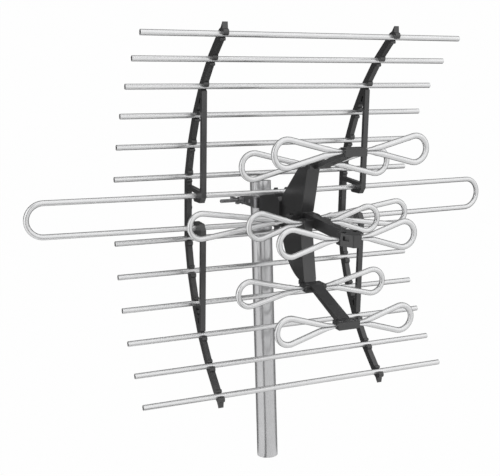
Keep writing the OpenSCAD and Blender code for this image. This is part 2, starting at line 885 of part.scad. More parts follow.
strut_y = rod_place(3)[0];
tube_at_arm = vhf_y + vhf_bend * (1 - cos(vhf_sweep))
    + (arm_spacing / 2 - vhf_bend * sin(vhf_sweep)) * tan(vhf_sweep);
strut_half = strut_depth / 2;

// Straight strut from the third rod down to the clip, with the web behind its upper end.
module strut_view() {
    p3 = rod_place(3);
    p4 = rod_place(4);
    polygon([[strut_y + strut_half, vhf_top], [strut_y + strut_half, p4[1] + 14],
        [p4[0] - 3, p4[1] + 12], [p3[0] + 7, p3[1] - 5], [strut_y - strut_half, p3[1] - 5],
        [strut_y - strut_half, vhf_top]]);
}

slot_w = 3.2;

// Slot in the web, as a flat-ended slit.
module web_slot() {
    p4 = rod_place(4);
    low = [strut_y + 7.5, p4[1] + rod_pitch * 0.36];
    bay(low, low + [-3, 8], slot_w);
}

// Clip on the long loop: the link above the tube, the body in front and a lip below.
module clip_view() {
    front = strut_y - strut_half;
    polygon([[front, vhf_top + 14], [front, vhf_top + 1], [front + 7, vhf_top - 8.5],
        [tube_at_arm + 5.5, vhf_top - 9], [tube_at_arm + 8.5, vhf_top - 6.5],
        [tube_at_arm + 8.5, vhf_top - 2], [tube_at_arm + 5.5, vhf_top - 1.5],
        [tube_at_arm, vhf_top], [tube_at_arm, vhf_top + 3],
        [2, vhf_top + 6], [2, vhf_top + 11], [strut_y + strut_half, vhf_top + 9],
        [strut_y + strut_half, vhf_top + 14]]);
}

// Corners of the spine: side 1 is its front and side -1 its back.
function spine_point(i, side) = arm_point(i)
    + side * arm_depth / 2 / cos(lean_step / 2) * forward(rod_tangent(i));

module spine_view() {
    p = rod_place(1);
    t = rod_tangent(1);
    n = forward(t);
    polygon(concat([[rod_set + arm_depth / 2, -lap]], [for (i = [6 : -1 : 1]) spine_point(i, -1)],
        [p - 6 * n + 6 * t, p + [-tip_step, tip_rise], p + 2.5 * n + 8 * t],
        [for (i = [1 : 6]) spine_point(i, 1)], [[rod_set - arm_depth / 2, -lap]]));
}

module arm_view() {
    difference() {
        union() {
            spine_view();
            for (i = [1 : 6]) rod_hook(i);
            strut_view();
            clip_view();
        }
        for (i = [1 : 6]) rod_notch(i);
        web_slot();
        translate([tube_at_arm, vhf_top]) circle(r = seat_r + 0.3);
    }
}

joint_screw_r = 2;

// Upper half of an arm. At the middle the two halves lap at half thickness.
module arm_half() {
    difference() {
        side_plate(arm_w) arm_view();
        block(-arm_w, 0, -far / 8, far / 8, -lap - 1, lap);
        translate([0, rod_set, 0]) bar_along_x(joint_screw_r + screw_gap, -arm_w, arm_w);
    }
}

module arm(side, low) {
    color(black) aim() translate([side * arm_spacing / 2, 0, 0])
        rotate([low * 180, 0, 0]) mirror([0, low, 0]) mirror([low, 0, 0]) arm_half();
}

module arm_screws() {
    color(zinc) aim() for (s = [-1, 1]) translate([s * arm_spacing / 2, rod_set, 0]) {
        bar_along_x(joint_screw_r, -arm_w / 2 + 0.5, arm_w / 2 + cut);
        bar_along_x(joint_screw_r + 1.5, arm_w / 2, arm_w / 2 + 1.6);
    }
}

mast();
clamp_jaw_left();
clamp_jaw_right();
clamp_grips();
clamp_rivets();
clamp_bolt();
clamp_washers();
clamp_wing_nut();
pivot_bolt();
centre_housing();
housing_cover();
cover_screws();
balun_board();
output_socket();
socket_nut();
front_boom();
upper_fin();
lower_fin();
upper_director_arm();
lower_director_arm();
holder_caps();
loop_screws();
rear_loop(1);  // rear_loop_left
rear_loop(0);  // rear_loop_right
boom_loop(1);  // boom_loop_left
boom_loop(0);  // boom_loop_right
nose_loop(1);  // nose_loop_left
nose_loop(0);  // nose_loop_right
upper_middle_loop(1);  // upper_middle_loop_left
upper_middle_loop(0);  // upper_middle_loop_right
upper_front_loop(1);  // upper_front_loop_left
upper_front_loop(0);  // upper_front_loop_right
lower_middle_loop(1);  // lower_middle_loop_left
lower_middle_loop(0);  // lower_middle_loop_right
lower_front_loop(1);  // lower_front_loop_left
lower_front_loop(0);  // lower_front_loop_right
vhf_loop();
arm(-1, 0);  // arm_left_upper
arm(-1, 1);  // arm_left_lower
arm(1, 0);  // arm_right_upper
arm(1, 1);  // arm_right_lower
arm_screws();
reflector_rod(1);  // reflector_rod_1
reflector_rod(2);  // reflector_rod_2
reflector_rod(3);  // reflector_rod_3
reflector_rod(4);  // reflector_rod_4
reflector_rod(5);  // reflector_rod_5
reflector_rod(6);  // reflector_rod_6
reflector_rod(7);  // reflector_rod_7
reflector_rod(8);  // reflector_rod_8
reflector_rod(9);  // reflector_rod_9
reflector_rod(10);  // reflector_rod_10
reflector_rod(11);  // reflector_rod_11
reflector_rod(12);  // reflector_rod_12
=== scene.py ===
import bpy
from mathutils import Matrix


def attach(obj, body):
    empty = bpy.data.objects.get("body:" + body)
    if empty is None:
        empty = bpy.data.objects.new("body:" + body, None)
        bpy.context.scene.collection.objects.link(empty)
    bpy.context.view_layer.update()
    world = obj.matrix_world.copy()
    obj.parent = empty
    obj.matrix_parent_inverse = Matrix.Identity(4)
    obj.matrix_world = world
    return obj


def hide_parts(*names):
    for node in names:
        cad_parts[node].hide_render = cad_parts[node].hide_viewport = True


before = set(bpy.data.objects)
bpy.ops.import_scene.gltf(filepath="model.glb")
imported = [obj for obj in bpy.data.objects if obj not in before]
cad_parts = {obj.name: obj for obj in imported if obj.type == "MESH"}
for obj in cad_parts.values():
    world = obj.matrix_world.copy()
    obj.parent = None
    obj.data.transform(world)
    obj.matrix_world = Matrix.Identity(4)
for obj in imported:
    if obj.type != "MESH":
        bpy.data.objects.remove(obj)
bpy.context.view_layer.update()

"""The television antenna on its mast: tubes, mouldings, clamp, studio and camera.

The CAD nodes give the frame. Each sub-assembly below builds the pieces that are seen,
in metres and in the same frame, and dresses them. The antenna is level in its own
drawing frame, and AIM puts a level piece on the mast.
"""

import logging
import math
from dataclasses import dataclass, field
from enum import Enum

import bmesh
import bpy
from mathutils import Matrix, Vector

LOG = logging.getLogger("antenna")
MM = 0.001


@dataclass(frozen=True)
class Plan:
    """Driving sizes of the antenna in millimetres, as in the part's own source."""

    tilt: float = 6.0
    pivot_reach: float = 36.2
    clamp_height: float = 417.0
    level_pivot: tuple[float, float] = (-7.0, -0.5)
    tube_d: float = 8.0
    tube_wall: float = 1.0
    rod_length: float = 500.0
    rods: int = 12
    middle_gap: float = 95.0
    rod_pitch: float = 49.5
    first_lean: float = 15.0
    lean_step: float = 8.0
    hub_z: float = -10.0
    middle_front: float = 150.0
    nose_front: float = 246.0
    loop_end_radius: float = 18.0
    long_loop: float = 774.0
    long_loop_pitch: float = 48.0
    long_loop_front: float = 44.0
    long_loop_sweep: float = 2.75
    long_loop_bend: float = 60.0
    feed_gap: float = 14.0
    mast_d: float = 33.4
    mast_wall: float = 2.0
    mast_length: float = 452.0

    def rod_place(self, index: int) -> tuple[float, float]:
        """Gives a rod's level place.

        Args:
            index: 1 is the uppermost rod and the last one is the lowest.

        Returns:
            Its y and z in millimetres.
        """
        half = self.rods // 2
        steps = index if index <= half else self.rods + 1 - index
        y, z = 0.0, self.middle_gap / 2
        for bay in range(half - 1, steps - 1, -1):
            lean = math.radians(self.first_lean + self.lean_step * (half - 1 - bay))
            y -= self.rod_pitch * math.sin(lean)
            z += self.rod_pitch * math.cos(lean)
        return y, z if index <= half else -z


PLAN = Plan()
AIM = (
    Matrix.Translation((0, -PLAN.pivot_reach * MM, PLAN.clamp_height * MM))
    @ Matrix.Rotation(math.radians(PLAN.tilt), 4, "X")
    @ Matrix.Translation((0, -PLAN.level_pivot[0] * MM, -PLAN.level_pivot[1] * MM))
)


class Slot(Enum):
    """Names of material slots, which no piece here uses."""

    MAST = "mast_metal"
    ZINC = "zinc"
    PLASTIC = "black_plastic"
    BOARD = "board"
    ALUMINIUM = "aluminium"


class Value:
    """A socket that Python's operators turn into Math nodes."""

    def __init__(self, graph: "Graph", socket: bpy.types.NodeSocket) -> None:
        """Keeps the graph and the socket."""
        self.graph = graph
        self.socket = socket

    def _math(self, operation: str, first: "Value | float", second: "Value | float") -> "Value":
        """Adds one Math node.

        Args:
            operation: Blender's name of the operation.
            first: the first operand.
            second: the second operand.

        Returns:
            The node's result.
        """
        node = self.graph.add("ShaderNodeMath", {"operation": operation}, {0: first, 1: second})
        return Value(self.graph, node.outputs[0])

    def __add__(self, other: "Value | float") -> "Value":
        """Adds."""
        return self._math("ADD", self, other)

    __radd__ = __add__

    def __mul__(self, other: "Value | float") -> "Value":
        """Multiplies."""
        return self._math("MULTIPLY", self, other)

    __rmul__ = __mul__

    def __sub__(self, other: "Value | float") -> "Value":
        """Takes other away."""
        return self._math("SUBTRACT", self, other)

    def __rsub__(self, other: float) -> "Value":
        """Takes this away from other."""
        return self._math("SUBTRACT", other, self)


class Graph:
    """The node tree of one finish, or of the sky."""

    def __init__(self, name: str, sky: bool = False) -> None:
        """Makes an empty material or world.

        Args:
            name: its name.
            sky: whether it is a world.
        """
        self.material = (bpy.data.worlds if sky else bpy.data.materials).new(name)
        self.material.use_nodes = True
        self.tree = self.material.node_tree
        self.tree.nodes.clear()

    def add(self, kind: str, settings: dict | None = None, inputs: dict | None = None) -> bpy.types.Node:
        """Adds a node, sets it up and links it.

        Args:
            kind: the node's type.
            settings: attributes of the node, where "stops" gives a ramp's places and colours.
            inputs: values, Values or sockets by input name or number.

        Returns:
            The node.
        """
        node = self.tree.nodes.new(kind)
        for key, value in (settings or {}).items():
            if key == "stops":
                while len(node.color_ramp.elements) < len(value):
                    node.color_ramp.elements.new(0.5)
                for stop, (place, shade) in zip(node.color_ramp.elements, value):
                    stop.position = place
                    stop.color = (shade, shade, shade, 1)
            else:
                setattr(node, key, value)
        for key, value in (inputs or {}).items():
            source = value.socket if isinstance(value, Value) else value
            if isinstance(source, bpy.types.NodeSocket):
                self.tree.links.new(source, node.inputs[key])
            else:
                node.inputs[key].default_value = source
        return node

    def place(self, stretch: tuple[float, float, float] = (1, 1, 1)) -> bpy.types.NodeSocket:
        """Gives object coordinates, stretched.

        Args:
            stretch: the factor along each axis.

        Returns:
            The vector socket.
        """
        source = self.add("ShaderNodeTexCoord").outputs["Object"]
        return self.add("ShaderNodeMapping", {}, {"Vector": source, "Scale": stretch}).outputs[0]

    def noise(self, scale: float, detail: float, place: bpy.types.NodeSocket) -> Value:
        """Gives a noise from 0 to 1.

        Args:
            scale: cycles in a metre.
            detail: the number of octaves.
            place: the coordinates.

        Returns:
            The noise's value.
        """
        node = self.add("ShaderNodeTexNoise", {}, {"Vector": place, "Scale": scale, "Detail": detail})
        return Value(self, node.outputs["Fac"])

    def ramp(self, value: Value, low: float, high: float) -> Value:
        """Stretches the part of a value from low to high over 0 to 1.

        Args:
            value: what is stretched.
            low: what becomes 0.
            high: what becomes 1.

        Returns:
            The stretched value.
        """
        node = self.add("ShaderNodeMapRange", {}, {"Value": value, "From Min": low, "From Max": high})
        return Value(self, node.outputs[0])

    def blend(self, factor: Value, first: tuple, second: tuple) -> bpy.types.NodeSocket:
        """Mixes two colours.

        Args:
            factor: 0 for the first and 1 for the second.
            first: a colour.
            second: a colour.

        Returns:
            The colour socket.
        """
        node = self.add("ShaderNodeMix", {"data_type": "RGBA"}, {0: factor, 6: (*first, 1), 7: (*second, 1)})
        return node.outputs[2]

    def finish(self, shader: dict, height: Value, depth: float) -> bpy.types.Material:
        """Ends the tree with the surface shader and its bump.

        Args:
            shader: the inputs of the surface shader.
            height: the bump's height from 0 to 1.
            depth: the bump's depth in metres.

        Returns:
            The material.
        """
        bump = self.add("ShaderNodeBump", {}, {"Height": height, "Distance": depth, "Strength": 1.0})
        surface = self.add("ShaderNodeBsdfPrincipled", {}, {**shader, "Normal": bump.outputs[0]})
        self.add("ShaderNodeOutputMaterial", {}, {"Surface": surface.outputs[0]})
        return self.material


@dataclass(frozen=True)
class MouldedPlastic:
    """Black weatherproof plastic with the fine grain of a sparked mould."""

    name: str
    dark: tuple[float, float, float]
    light: tuple[float, float, float]
    roughness: float
    grain: float = 1500.0

    def material(self) -> bpy.types.Material:
        """Builds the material."""
        graph = Graph(self.name)
        place = graph.place()
        cloud = graph.ramp(graph.noise(22.0, 3.0, place), 0.35, 0.65)
        grain = graph.noise(self.grain, 2.0, place)
        flow = graph.noise(60.0, 2.0, graph.place((1, 1, 4)))
        colour = graph.blend(0.7 * cloud + 0.3 * grain, self.dark, self.light)
        rough = self.roughness - 0.05 + 0.1 * grain + 0.06 * flow
        shader = {"Base Color": colour, "Roughness": rough, "Specular IOR Level": 1.0}
        return graph.finish(shader, grain, 0.00004)


@dataclass(frozen=True)
class DrawnTube:
    """Aluminium tube with the faint lengthwise lines of the drawing die.

    Its edge is the tint of reflections at a grazing angle, which darkens the tube's rims.
    """

    name: str
    dark: tuple[float, float, float]
    light: tuple[float, float, float]
    roughness: float
    lines: tuple[float, float, float] = (0.03, 1, 1)
    metallic: float = 0.74
    edge: float = 0.28

    def material(self) -> bpy.types.Material:
        """Builds the material."""
        graph = Graph(self.name)
        lines = graph.noise(1800.0, 3.0, graph.place(self.lines))
        cloud = graph.noise(45.0, 3.0, graph.place())
        mask = graph.ramp(0.5 * lines + 0.5 * cloud, 0.38, 0.62)
        colour = graph.blend(mask, self.dark, self.light)
        rough = self.roughness - 0.02 + 0.03 * lines + 0.04 * cloud
        tint = (self.edge, self.edge, self.edge, 1)
        shader = {"Base Color": colour, "Metallic": self.metallic, "Roughness": rough, "Specular Tint": tint}
        return graph.finish(shader, lines, 0.0000015)


@dataclass(frozen=True)
class ZincPlate:
    """Zinc-plated pressed steel, with the cloudy spangle of the bath."""

    name: str
    dark: tuple[float, float, float]
    light: tuple[float, float, float]
    roughness: float

    def material(self) -> bpy.types.Material:
        """Builds the material."""
        graph = Graph(self.name)
        place = graph.place()
        spangle = graph.add("ShaderNodeTexVoronoi", {}, {"Vector": place, "Scale": 260.0})
        flake = Value(graph, spangle.outputs["Distance"])
        cloud = graph.noise(90.0, 4.0, place)
        mask = graph.ramp(0.4 * flake + 0.6 * cloud, 0.3, 0.7)
        colour = graph.blend(mask, self.dark, self.light)
        rough = self.roughness + 0.12 * cloud
        shader = {"Base Color": colour, "Metallic": 0.9, "Roughness": rough}
        return graph.finish(shader, flake, 0.00003)


@dataclass(frozen=True)
class CircuitBoard:
    """Green lacquered board with faint copper tracks under the lacquer."""

    name: str

    def material(self) -> bpy.types.Material:
        """Builds the material."""
        graph = Graph(self.name)
        place = graph.place()
        tracks = graph.add("ShaderNodeTexBrick", {}, {"Vector": place, "Scale": 90.0})
        mask = Value(graph, tracks.outputs["Fac"])
        colour = graph.blend(mask, (0.02, 0.12, 0.05), (0.05, 0.25, 0.1))
        rough = 0.3 + 0.1 * mask
        return graph.finish({"Base Color": colour, "Roughness": rough}, mask, 0.00003)


class Finishes:
    """The materials, each made once."""

    def __init__(self) -> None:
        """Builds every material."""
        self.plastic = MouldedPlastic(
            "black_moulding", (0.023, 0.023, 0.024), (0.033, 0.033, 0.034), 0.27
        ).material()
        self.tube = DrawnTube("drawn_aluminium", (0.82, 0.825, 0.83), (0.86, 0.86, 0.865), 0.24).material()
        self.bent = DrawnTube(
            "bent_aluminium", (0.82, 0.825, 0.83), (0.86, 0.86, 0.865), 0.24, lines=(0.4, 1, 0.4)
        ).material()
        self.mast = DrawnTube(
            "galvanised_mast", (0.71, 0.71, 0.72), (0.78, 0.78, 0.79), 0.17, lines=(1, 1, 0.02), metallic=0.55
        ).material()
        # The bore's near-black colour is painted shade inside the tubes and the mast, with a rougher finish.
        self.bore = DrawnTube(
            "painted_shade_bore", (0.05, 0.05, 0.052), (0.11, 0.11, 0.112), 0.6, metallic=0.3
        ).material()
        self.zinc = ZincPlate("zinc_plate", (0.22, 0.22, 0.225), (0.36, 0.36, 0.37), 0.32).material()
        self.board = CircuitBoard("circuit_board").material()


def smooth(mesh: bpy.types.Mesh, sharp_over: float = 40.0) -> None:
    """Shades a mesh smooth and keeps its corners.

    Args:
        mesh: the mesh.
        sharp_over: the angle in degrees from which an edge stays sharp.
    """
    mesh.shade_smooth()
    mesh.set_sharp_from_angle(angle=math.radians(sharp_over))


def add_piece(
    name: str, mesh: bpy.types.Mesh, material: bpy.types.Material, nodes: tuple[str, ...]
) -> bpy.types.Object:
    """Puts a finished mesh in the scene as a piece.

    Args:
        name: the piece's name.
        mesh: its mesh, in the row frame.
        material: its finish.
        nodes: the CAD nodes it stands for.

    Returns:
        The object.
    """
    mesh.materials.clear()
    mesh.materials.append(material)
    piece = bpy.data.objects.new(name, mesh)
    bpy.context.scene.collection.objects.link(piece)
    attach(piece, "root")
    if nodes:
        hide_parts(*nodes)
    LOG.info("%s: %d faces", name, len(mesh.polygons))
    return piece


def to_mesh(name: str, shape: bmesh.types.BMesh, place: Matrix) -> bpy.types.Mesh:
    """Turns a shape into a mesh that faces outwards.

    Args:
        name: the mesh's name.
        shape: the shape in metres, which is freed.
        place: where it goes in the row frame.

    Returns:
        The mesh.
    """
    bmesh.ops.remove_doubles(shape, verts=shape.verts, dist=1e-6)
    bmesh.ops.transform(shape, matrix=place, verts=shape.verts)
    bmesh.ops.recalc_face_normals(shape, faces=shape.faces)
    mesh = bpy.data.meshes.new(name)
    shape.to_mesh(mesh)
    shape.free()
    smooth(mesh)
    return mesh


def softened(node: str, radius: float, segments: int = 2) -> bpy.types.Mesh:
    """Copies a CAD node's mesh and rounds its edges.

    Args:
        node: the node's name.
        radius: the rounding in millimetres.
        segments: the number of faces across the rounding.

    Returns:
        The new mesh, in the row frame.
    """
    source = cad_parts[node]
    shape = bmesh.new()
    shape.from_mesh(source.data)
    bmesh.ops.transform(shape, matrix=source.matrix_world, verts=shape.verts)
    bmesh.ops.remove_doubles(shape, verts=shape.verts, dist=2e-6)
    bmesh.ops.dissolve_limit(
        shape,
        angle_limit=math.radians(1.0),
        verts=shape.verts,
        edges=shape.edges,
        use_dissolve_boundaries=False,
    )
    limit = math.radians(34.0)
    edges = [e for e in shape.edges if len(e.link_faces) == 2 and e.calc_face_angle(0.0) > limit]
    bmesh.ops.bevel(
        shape,
        geom=edges,
        offset=radius * MM,
        offset_type="OFFSET",
        affect="EDGES",
        segments=segments,
        profile=0.5,
        material=-1,
        clamp_overlap=True,
    )
    mesh = bpy.data.meshes.new(node)
    shape.to_mesh(mesh)
    shape.free()
    smooth(mesh, 50.0)
    return mesh


def dress(
    name: str, mesh: bpy.types.Mesh, material: bpy.types.Material, node: str
) -> bpy.types.Object:
    """Adds a softened piece whose flat faces stay flat in the shading.

    Args:
        name: the piece's name.
        mesh: its mesh.
        material: its finish.
        node: the CAD node it stands for.

    Returns:
        The object.
    """
    piece = add_piece(name, mesh, material, (node,))
    flat = piece.modifiers.new("flat faces", "WEIGHTED_NORMAL")
    flat.keep_sharp = True
    return piece


def turned(outline: list[tuple[float, float]], steps: int = 40, closed: bool = True) -> bmesh.types.BMesh:
    """Turns an outline about the X axis, as on a lathe.

    Args:
        outline: places along X and radii in millimetres, in order.
        steps: the faces round the axis.
        closed: whether the outline closes on itself, and otherwise it runs from axis to axis.

    Returns:
        The shape in metres.
    """
    shape = bmesh.new()
    verts = [shape.verts.new((x * MM, 0, r * MM)) for x, r in outline]
    edges = [shape.edges.new((a, b)) for a, b in zip(verts, verts[1:] + verts[: 1 if closed else 0])]
    bmesh.ops.spin(
        shape,
        geom=verts + edges,
        cent=(0, 0, 0),
        axis=(1, 0, 0),
        dvec=(0, 0, 0),
        angle=math.tau,
        steps=steps,
        use_merge=True,
        use_duplicate=False,
    )
    bmesh.ops.remove_doubles(shape, verts=shape.verts, dist=1e-7)
    return shape


def tube_outline(
    start: float, end: float, outer: float, wall: float, lip: float = 0.25
) -> list[tuple[float, float]]:
    """Gives the outline of an open tube with its cut edges broken.

    Args:
        start: where it starts along X in millimetres.
        end: where it ends.
        outer: its outer radius.
        wall: its wall.
        lip: how much of each cut edge is taken off.

    Returns:
        Places along X and radii in millimetres.
    """
    inner = outer - wall
    return [
        (start + lip, outer), (end - lip, outer), (end, outer - lip), (end, inner + lip),
        (end - lip, inner), (start + lip, inner), (start, inner + lip), (start, outer - lip),
    ]


def painted_shade_bore(
    mesh: bpy.types.Mesh, finish: bpy.types.Material, place: Matrix, radius: float, slack: float = 0.05
) -> None:
    """Gives the inside of a straight tube a near-black colour, which is painted shade, with a rougher finish.

    Args:
        mesh: the tube's mesh.
        finish: the dark finish that paints shade in the bore.
        place: the matrix that took the tube from the X axis to the row frame.
        radius: the bore's radius in millimetres.
        slack: how far past it a face of the bore may stand.
    """
    mesh.materials.append(finish)
    back = place.inverted()
    for face in mesh.polygons:
        centre = back @ face.center
        if math.hypot(centre.y, centre.z) < (radius + slack) * MM:
            face.material_index = 1


class BentTube:
    """A tube laid out in steps: straight runs and bends of a ring of vertices."""

    def __init__(self, radius: float, place: Matrix, sides: int = 24) -> None:
        """Starts the tube.

        Args:
            radius: the tube's radius in millimetres.
            place: the first ring's place in metres, with the tube along its Z.
            sides: the faces round the tube.
        """
        self.shape = bmesh.new()
        ring = bmesh.ops.create_circle(
            self.shape, cap_ends=False, radius=radius * MM, segments=sides, matrix=place
        )
        self.ring = list({e for v in ring["verts"] for e in v.link_edges})
        self.first = list(self.ring)

    def step(self, change: Matrix) -> None:
        """Extrudes the open end and moves the new ring.

        Args:
            change: the matrix in metres that takes the ring to its new place.
        """
        made = bmesh.ops.extrude_edge_only(self.shape, edges=self.ring)["geom"]
        verts = [g for g in made if isinstance(g, bmesh.types.BMVert)]
        chosen = set(verts)
        self.ring = [g for g in made if isinstance(g, bmesh.types.BMEdge) and set(g.verts) <= chosen]
        bmesh.ops.transform(self.shape, matrix=change, verts=verts)

    def run(self, move: Vector, steps: int = 1) -> None:
        """Lays a straight run.

        Args:
            move: the whole run in millimetres.
            steps: the number of rings.
        """
        for _ in range(steps):
            self.step(Matrix.Translation(move * (MM / steps)))

    def bend(self, centre: Vector, axis: Vector, angle: float, steps: int) -> None:
        """Lays a bend.

        Args:
            centre: a point on the bend's axis in millimetres.
            axis: the bend's axis.
            angle: the bend in radians.
            steps: the number of rings.
        """
        move = Matrix.Translation(centre * MM)
        turn = move @ Matrix.Rotation(angle / steps, 4, axis) @ move.inverted()
        for _ in range(steps):
            self.step(turn)

    def other_end(self) -> None:
        """Goes on from the ring that the tube started with."""
        self.first, self.ring = self.ring, self.first

    def close(self) -> None:
        """Fills both ends."""
        bmesh.ops.holes_fill(self.shape, edges=self.ring + self.first, sides=0)


@dataclass
class Reflector:
    """The twelve open rods of the curved reflector."""

    finishes: Finishes
    sides: int = 32

    def build(self) -> None:
        """Builds every rod."""
        half = PLAN.rod_length / 2
        outline = tube_outline(-half, half, PLAN.tube_d / 2, PLAN.tube_wall)
        for index in range(1, PLAN.rods + 1):
            y, z = PLAN.rod_place(index)
            place = AIM @ Matrix.Translation((0, y * MM, z * MM))
            name = f"reflector_rod_{index}"
            mesh = to_mesh(f"{name}_tube", turned(outline, self.sides), place)
            add_piece(f"{name}_tube", mesh, self.finishes.tube, (name,))
            painted_shade_bore(mesh, self.finishes.bore, place, PLAN.tube_d / 2 - PLAN.tube_wall)


@dataclass(frozen=True)
class LoopPair:
    """Where one pair of director loops sits, in level millimetres.

    Its arm is 1 for the upper director arm, -1 for the lower one and 0 for the boom.
    """

    name: str
    reach: float
    half: float
    front: float
    z: float
    arm: int = 0


def loop_pairs() -> list[LoopPair]:
    """Lays out the seven pairs.

    Returns:
        The pairs, from the rear of the boom to the lower arm's front.
    """
    hub, middle, nose = PLAN.hub_z, PLAN.middle_front, PLAN.nose_front
    return [
        LoopPair("rear_loop", 181.0, 26.0, 114.0, -6.0),
        LoopPair("boom_loop", 108.0, 21.0, middle, -4.0),
        LoopPair("nose_loop", 108.0, 16.5, nose - 1.5, -9.0),
        LoopPair("upper_middle_loop", 120.0, 16.5, middle, hub + 90.0, 1),
        LoopPair("upper_front_loop", 119.0, 16.5, nose, hub + 118.0, 1),
        LoopPair("lower_middle_loop", 122.0, 16.5, middle, hub - 90.0, -1),
        LoopPair("lower_front_loop", 109.0, 16.5, nose, hub - 118.0, -1),
    ]


@dataclass
class DirectorLoops:
    """The bent loops, whose ends are pressed into tongues and screwed in the holders."""

    finishes: Finishes
    point_run: float = 9.0
    tongue_end: float = 14.0
    tongue_t: float = 2.4
    tongue_w: float = 7.0
    round_until: float = 17.0
    pressed: tuple = ((11.0, 1.02, 0.9), (5.0, 0.98, 0.66))
    tongue_start: tuple[float, float, float] = (3.0, 0.92, 0.4)
    legs_gap: float = 0.02
    leg_steps: int = 4
    bend_steps: int = 22

    def leg(self, tube: BentTube, pair: LoopPair, tangent: Vector, up: float) -> None:
        """Lays one leg of a loop from the round end to its pressed tongue.

        Args:
            tube: the tube, open at the tangent point.
            pair: the pair's places.
            tangent: the tangent point in millimetres.
            up: 1 for the upper leg and -1 for the lower one.
        """
        radius = PLAN.tube_d / 2
        meet = Vector((pair.half + self.point_run, 0, 0))
        away = (tangent - meet).normalized()
        start = meet + away * self.round_until
        tube.run(start - tangent, self.leg_steps)
        # Each leg is half of the tongue, so its own half thickness is a quarter of the tongue's.
        flat = (self.tongue_w / PLAN.tube_d, self.tongue_t / 4 / radius)
        stations = [(meet.x + x, width, height) for x, width, height in self.pressed]
        stations += [(pair.half + self.tongue_start[0], *self.tongue_start[1:])]
        stations += [(pair.half, *flat), (pair.half - self.tongue_end, *flat)]
        centre, wide, high = start, 1.0, 1.0
        for x, width, height in stations:
            on_leg = max((x - meet.x) / away.x, 0.0) * abs(away.z)
            target = Vector((x, 0, up * max(on_leg, height * radius + self.legs_gap)))
            scale = Matrix.Diagonal((1, width / wide, height / high, 1))
            tube.step(Matrix.Translation(target * MM) @ scale @ Matrix.Translation(centre * -MM))
            centre, wide, high = target, width, height

    def loop(self, pair: LoopPair) -> bmesh.types.BMesh:
        """Makes the right-hand loop of a pair.

        Args:
            pair: the pair's places.

        Returns:
            The shape, about the holder's middle.
        """
        radius = PLAN.tube_d / 2
        end = PLAN.loop_end_radius
        centre = Vector((pair.reach - radius - end, 0, 0))
        gap = centre.x - pair.half - self.point_run
        spread = math.asin(end / gap)
        angle = math.pi / 2 + spread
        low = centre + Vector((math.cos(angle), 0, -math.sin(angle))) * end
        high = Vector((low.x, 0, -low.z))
        turn = Matrix.Rotation(math.pi / 2 + spread, 4, "Y")
        tube = BentTube(radius, Matrix.Translation(low * MM) @ turn)
        tube.bend(centre, Vector((0, 1, 0)), -2 * angle, self.bend_steps)
        self.leg(tube, pair, high, 1.0)
        tube.other_end()
        self.leg(tube, pair, low, -1.0)
        tube.close()
        return tube.shape

    def build(self) -> None:
        """Builds every loop."""
        for pair in loop_pairs():
            for side, sign in (("left", -1), ("right", 1)):
                place = AIM @ Matrix.Translation((0, -pair.front * MM, pair.z * MM))
                place = place @ Matrix.Diagonal((sign, 1, 1, 1))
                node = f"{pair.name}_{side}"
                mesh = to_mesh(f"{node}_tube", self.loop(pair), place)
                add_piece(f"{node}_tube", mesh, self.finishes.bent, (node,))


@dataclass
class LongLoop:
    """The long VHF loop: one tube bent back on itself at both ends."""

    finishes: Finishes
    sides: int = 28
    run_steps: int = 8
    bend_steps: int = 26
    middle_steps: int = 6

    def build(self) -> None:
        """Builds the loop from one feed end round to the other."""
        radius = PLAN.tube_d / 2
        rise = PLAN.long_loop_pitch / 2
        sweep = math.radians(PLAN.long_loop_sweep)
        bend = PLAN.long_loop_bend
        hinge = Vector((0, -PLAN.long_loop_front + bend, 0))
        run = (PLAN.long_loop / 2 - bend * math.sin(sweep)) / math.cos(sweep) - rise - radius
        ends = {}
        for sign in (1, -1):
            along = Matrix.Rotation(sign * sweep, 3, "Z")
            root = hinge + along @ Vector((0, -bend, 0))
            ends[sign] = (root, along @ Vector((sign, 0, 0)), along @ Vector((0, 1, 0)))
        root, out, axis = ends[1]
        start = root + out * (PLAN.feed_gap / 2) + Vector((0, 0, -rise))
        place = Matrix.Translation(start * MM) @ out.to_track_quat("Z", "Y").to_matrix().to_4x4()
        tube = BentTube(radius, place, self.sides)
        tube.run(out * (run - PLAN.feed_gap / 2), self.run_steps)
        tube.bend(root + out * run, axis, -math.pi, self.bend_steps)
        tube.run(-out * run, self.run_steps)
        tube.bend(hinge, Vector((0, 0, 1)), -2 * sweep, self.middle_steps)
        root, out, axis = ends[-1]
        tube.run(out * run, self.run_steps)
        tube.bend(root + out * run, axis, -math.pi, self.bend_steps)
        tube.run(-out * (run - PLAN.feed_gap / 2), self.run_steps)
        tube.close()
        mesh = to_mesh("long_loop_tube", tube.shape, AIM)
        add_piece("long_loop_tube", mesh, self.finishes.tube, ("vhf_loop",))


@dataclass
class Mouldings:
    """The black plastic pieces, with the rounded edges that the mould leaves."""

    finishes: Finishes
    edge: float = 0.7
    other_edges: dict[str, float] = field(
        default_factory=lambda: {
            "centre_housing": 0.6,
            "housing_cover": 0.4,
            "upper_fin": 1.0,
            "lower_fin": 1.0,
            "holder_caps": 0.6,
        }
    )
    nodes: tuple = (
        "centre_housing", "housing_cover", "front_boom", "upper_fin", "lower_fin",
        "upper_director_arm", "lower_director_arm", "holder_caps",
        "arm_left_upper", "arm_left_lower", "arm_right_upper", "arm_right_lower",
    )

    def build(self) -> None:
        """Builds every moulding."""
        for node in self.nodes:
            mesh = softened(node, self.other_edges.get(node, self.edge))
            dress(f"{node}_moulding", mesh, self.finishes.plastic, node)


def thread(
    start: float, end: float, radius: float, pitch: float, depth: float
) -> list[tuple[float, float]]:
    """Gives the outline of a thread.

    Args:
        start: where it starts along X in millimetres.
        end: where it ends.
        radius: its outer radius.
        pitch: the distance from ridge to ridge.
        depth: the depth of the grooves.

    Returns:
        Places along X and radii in millimetres.
    """
    outline = []
    for turn in range(int((end - start) / pitch)):
        outline += [(start + turn * pitch, radius - depth), (start + (turn + 0.5) * pitch, radius)]
    return outline


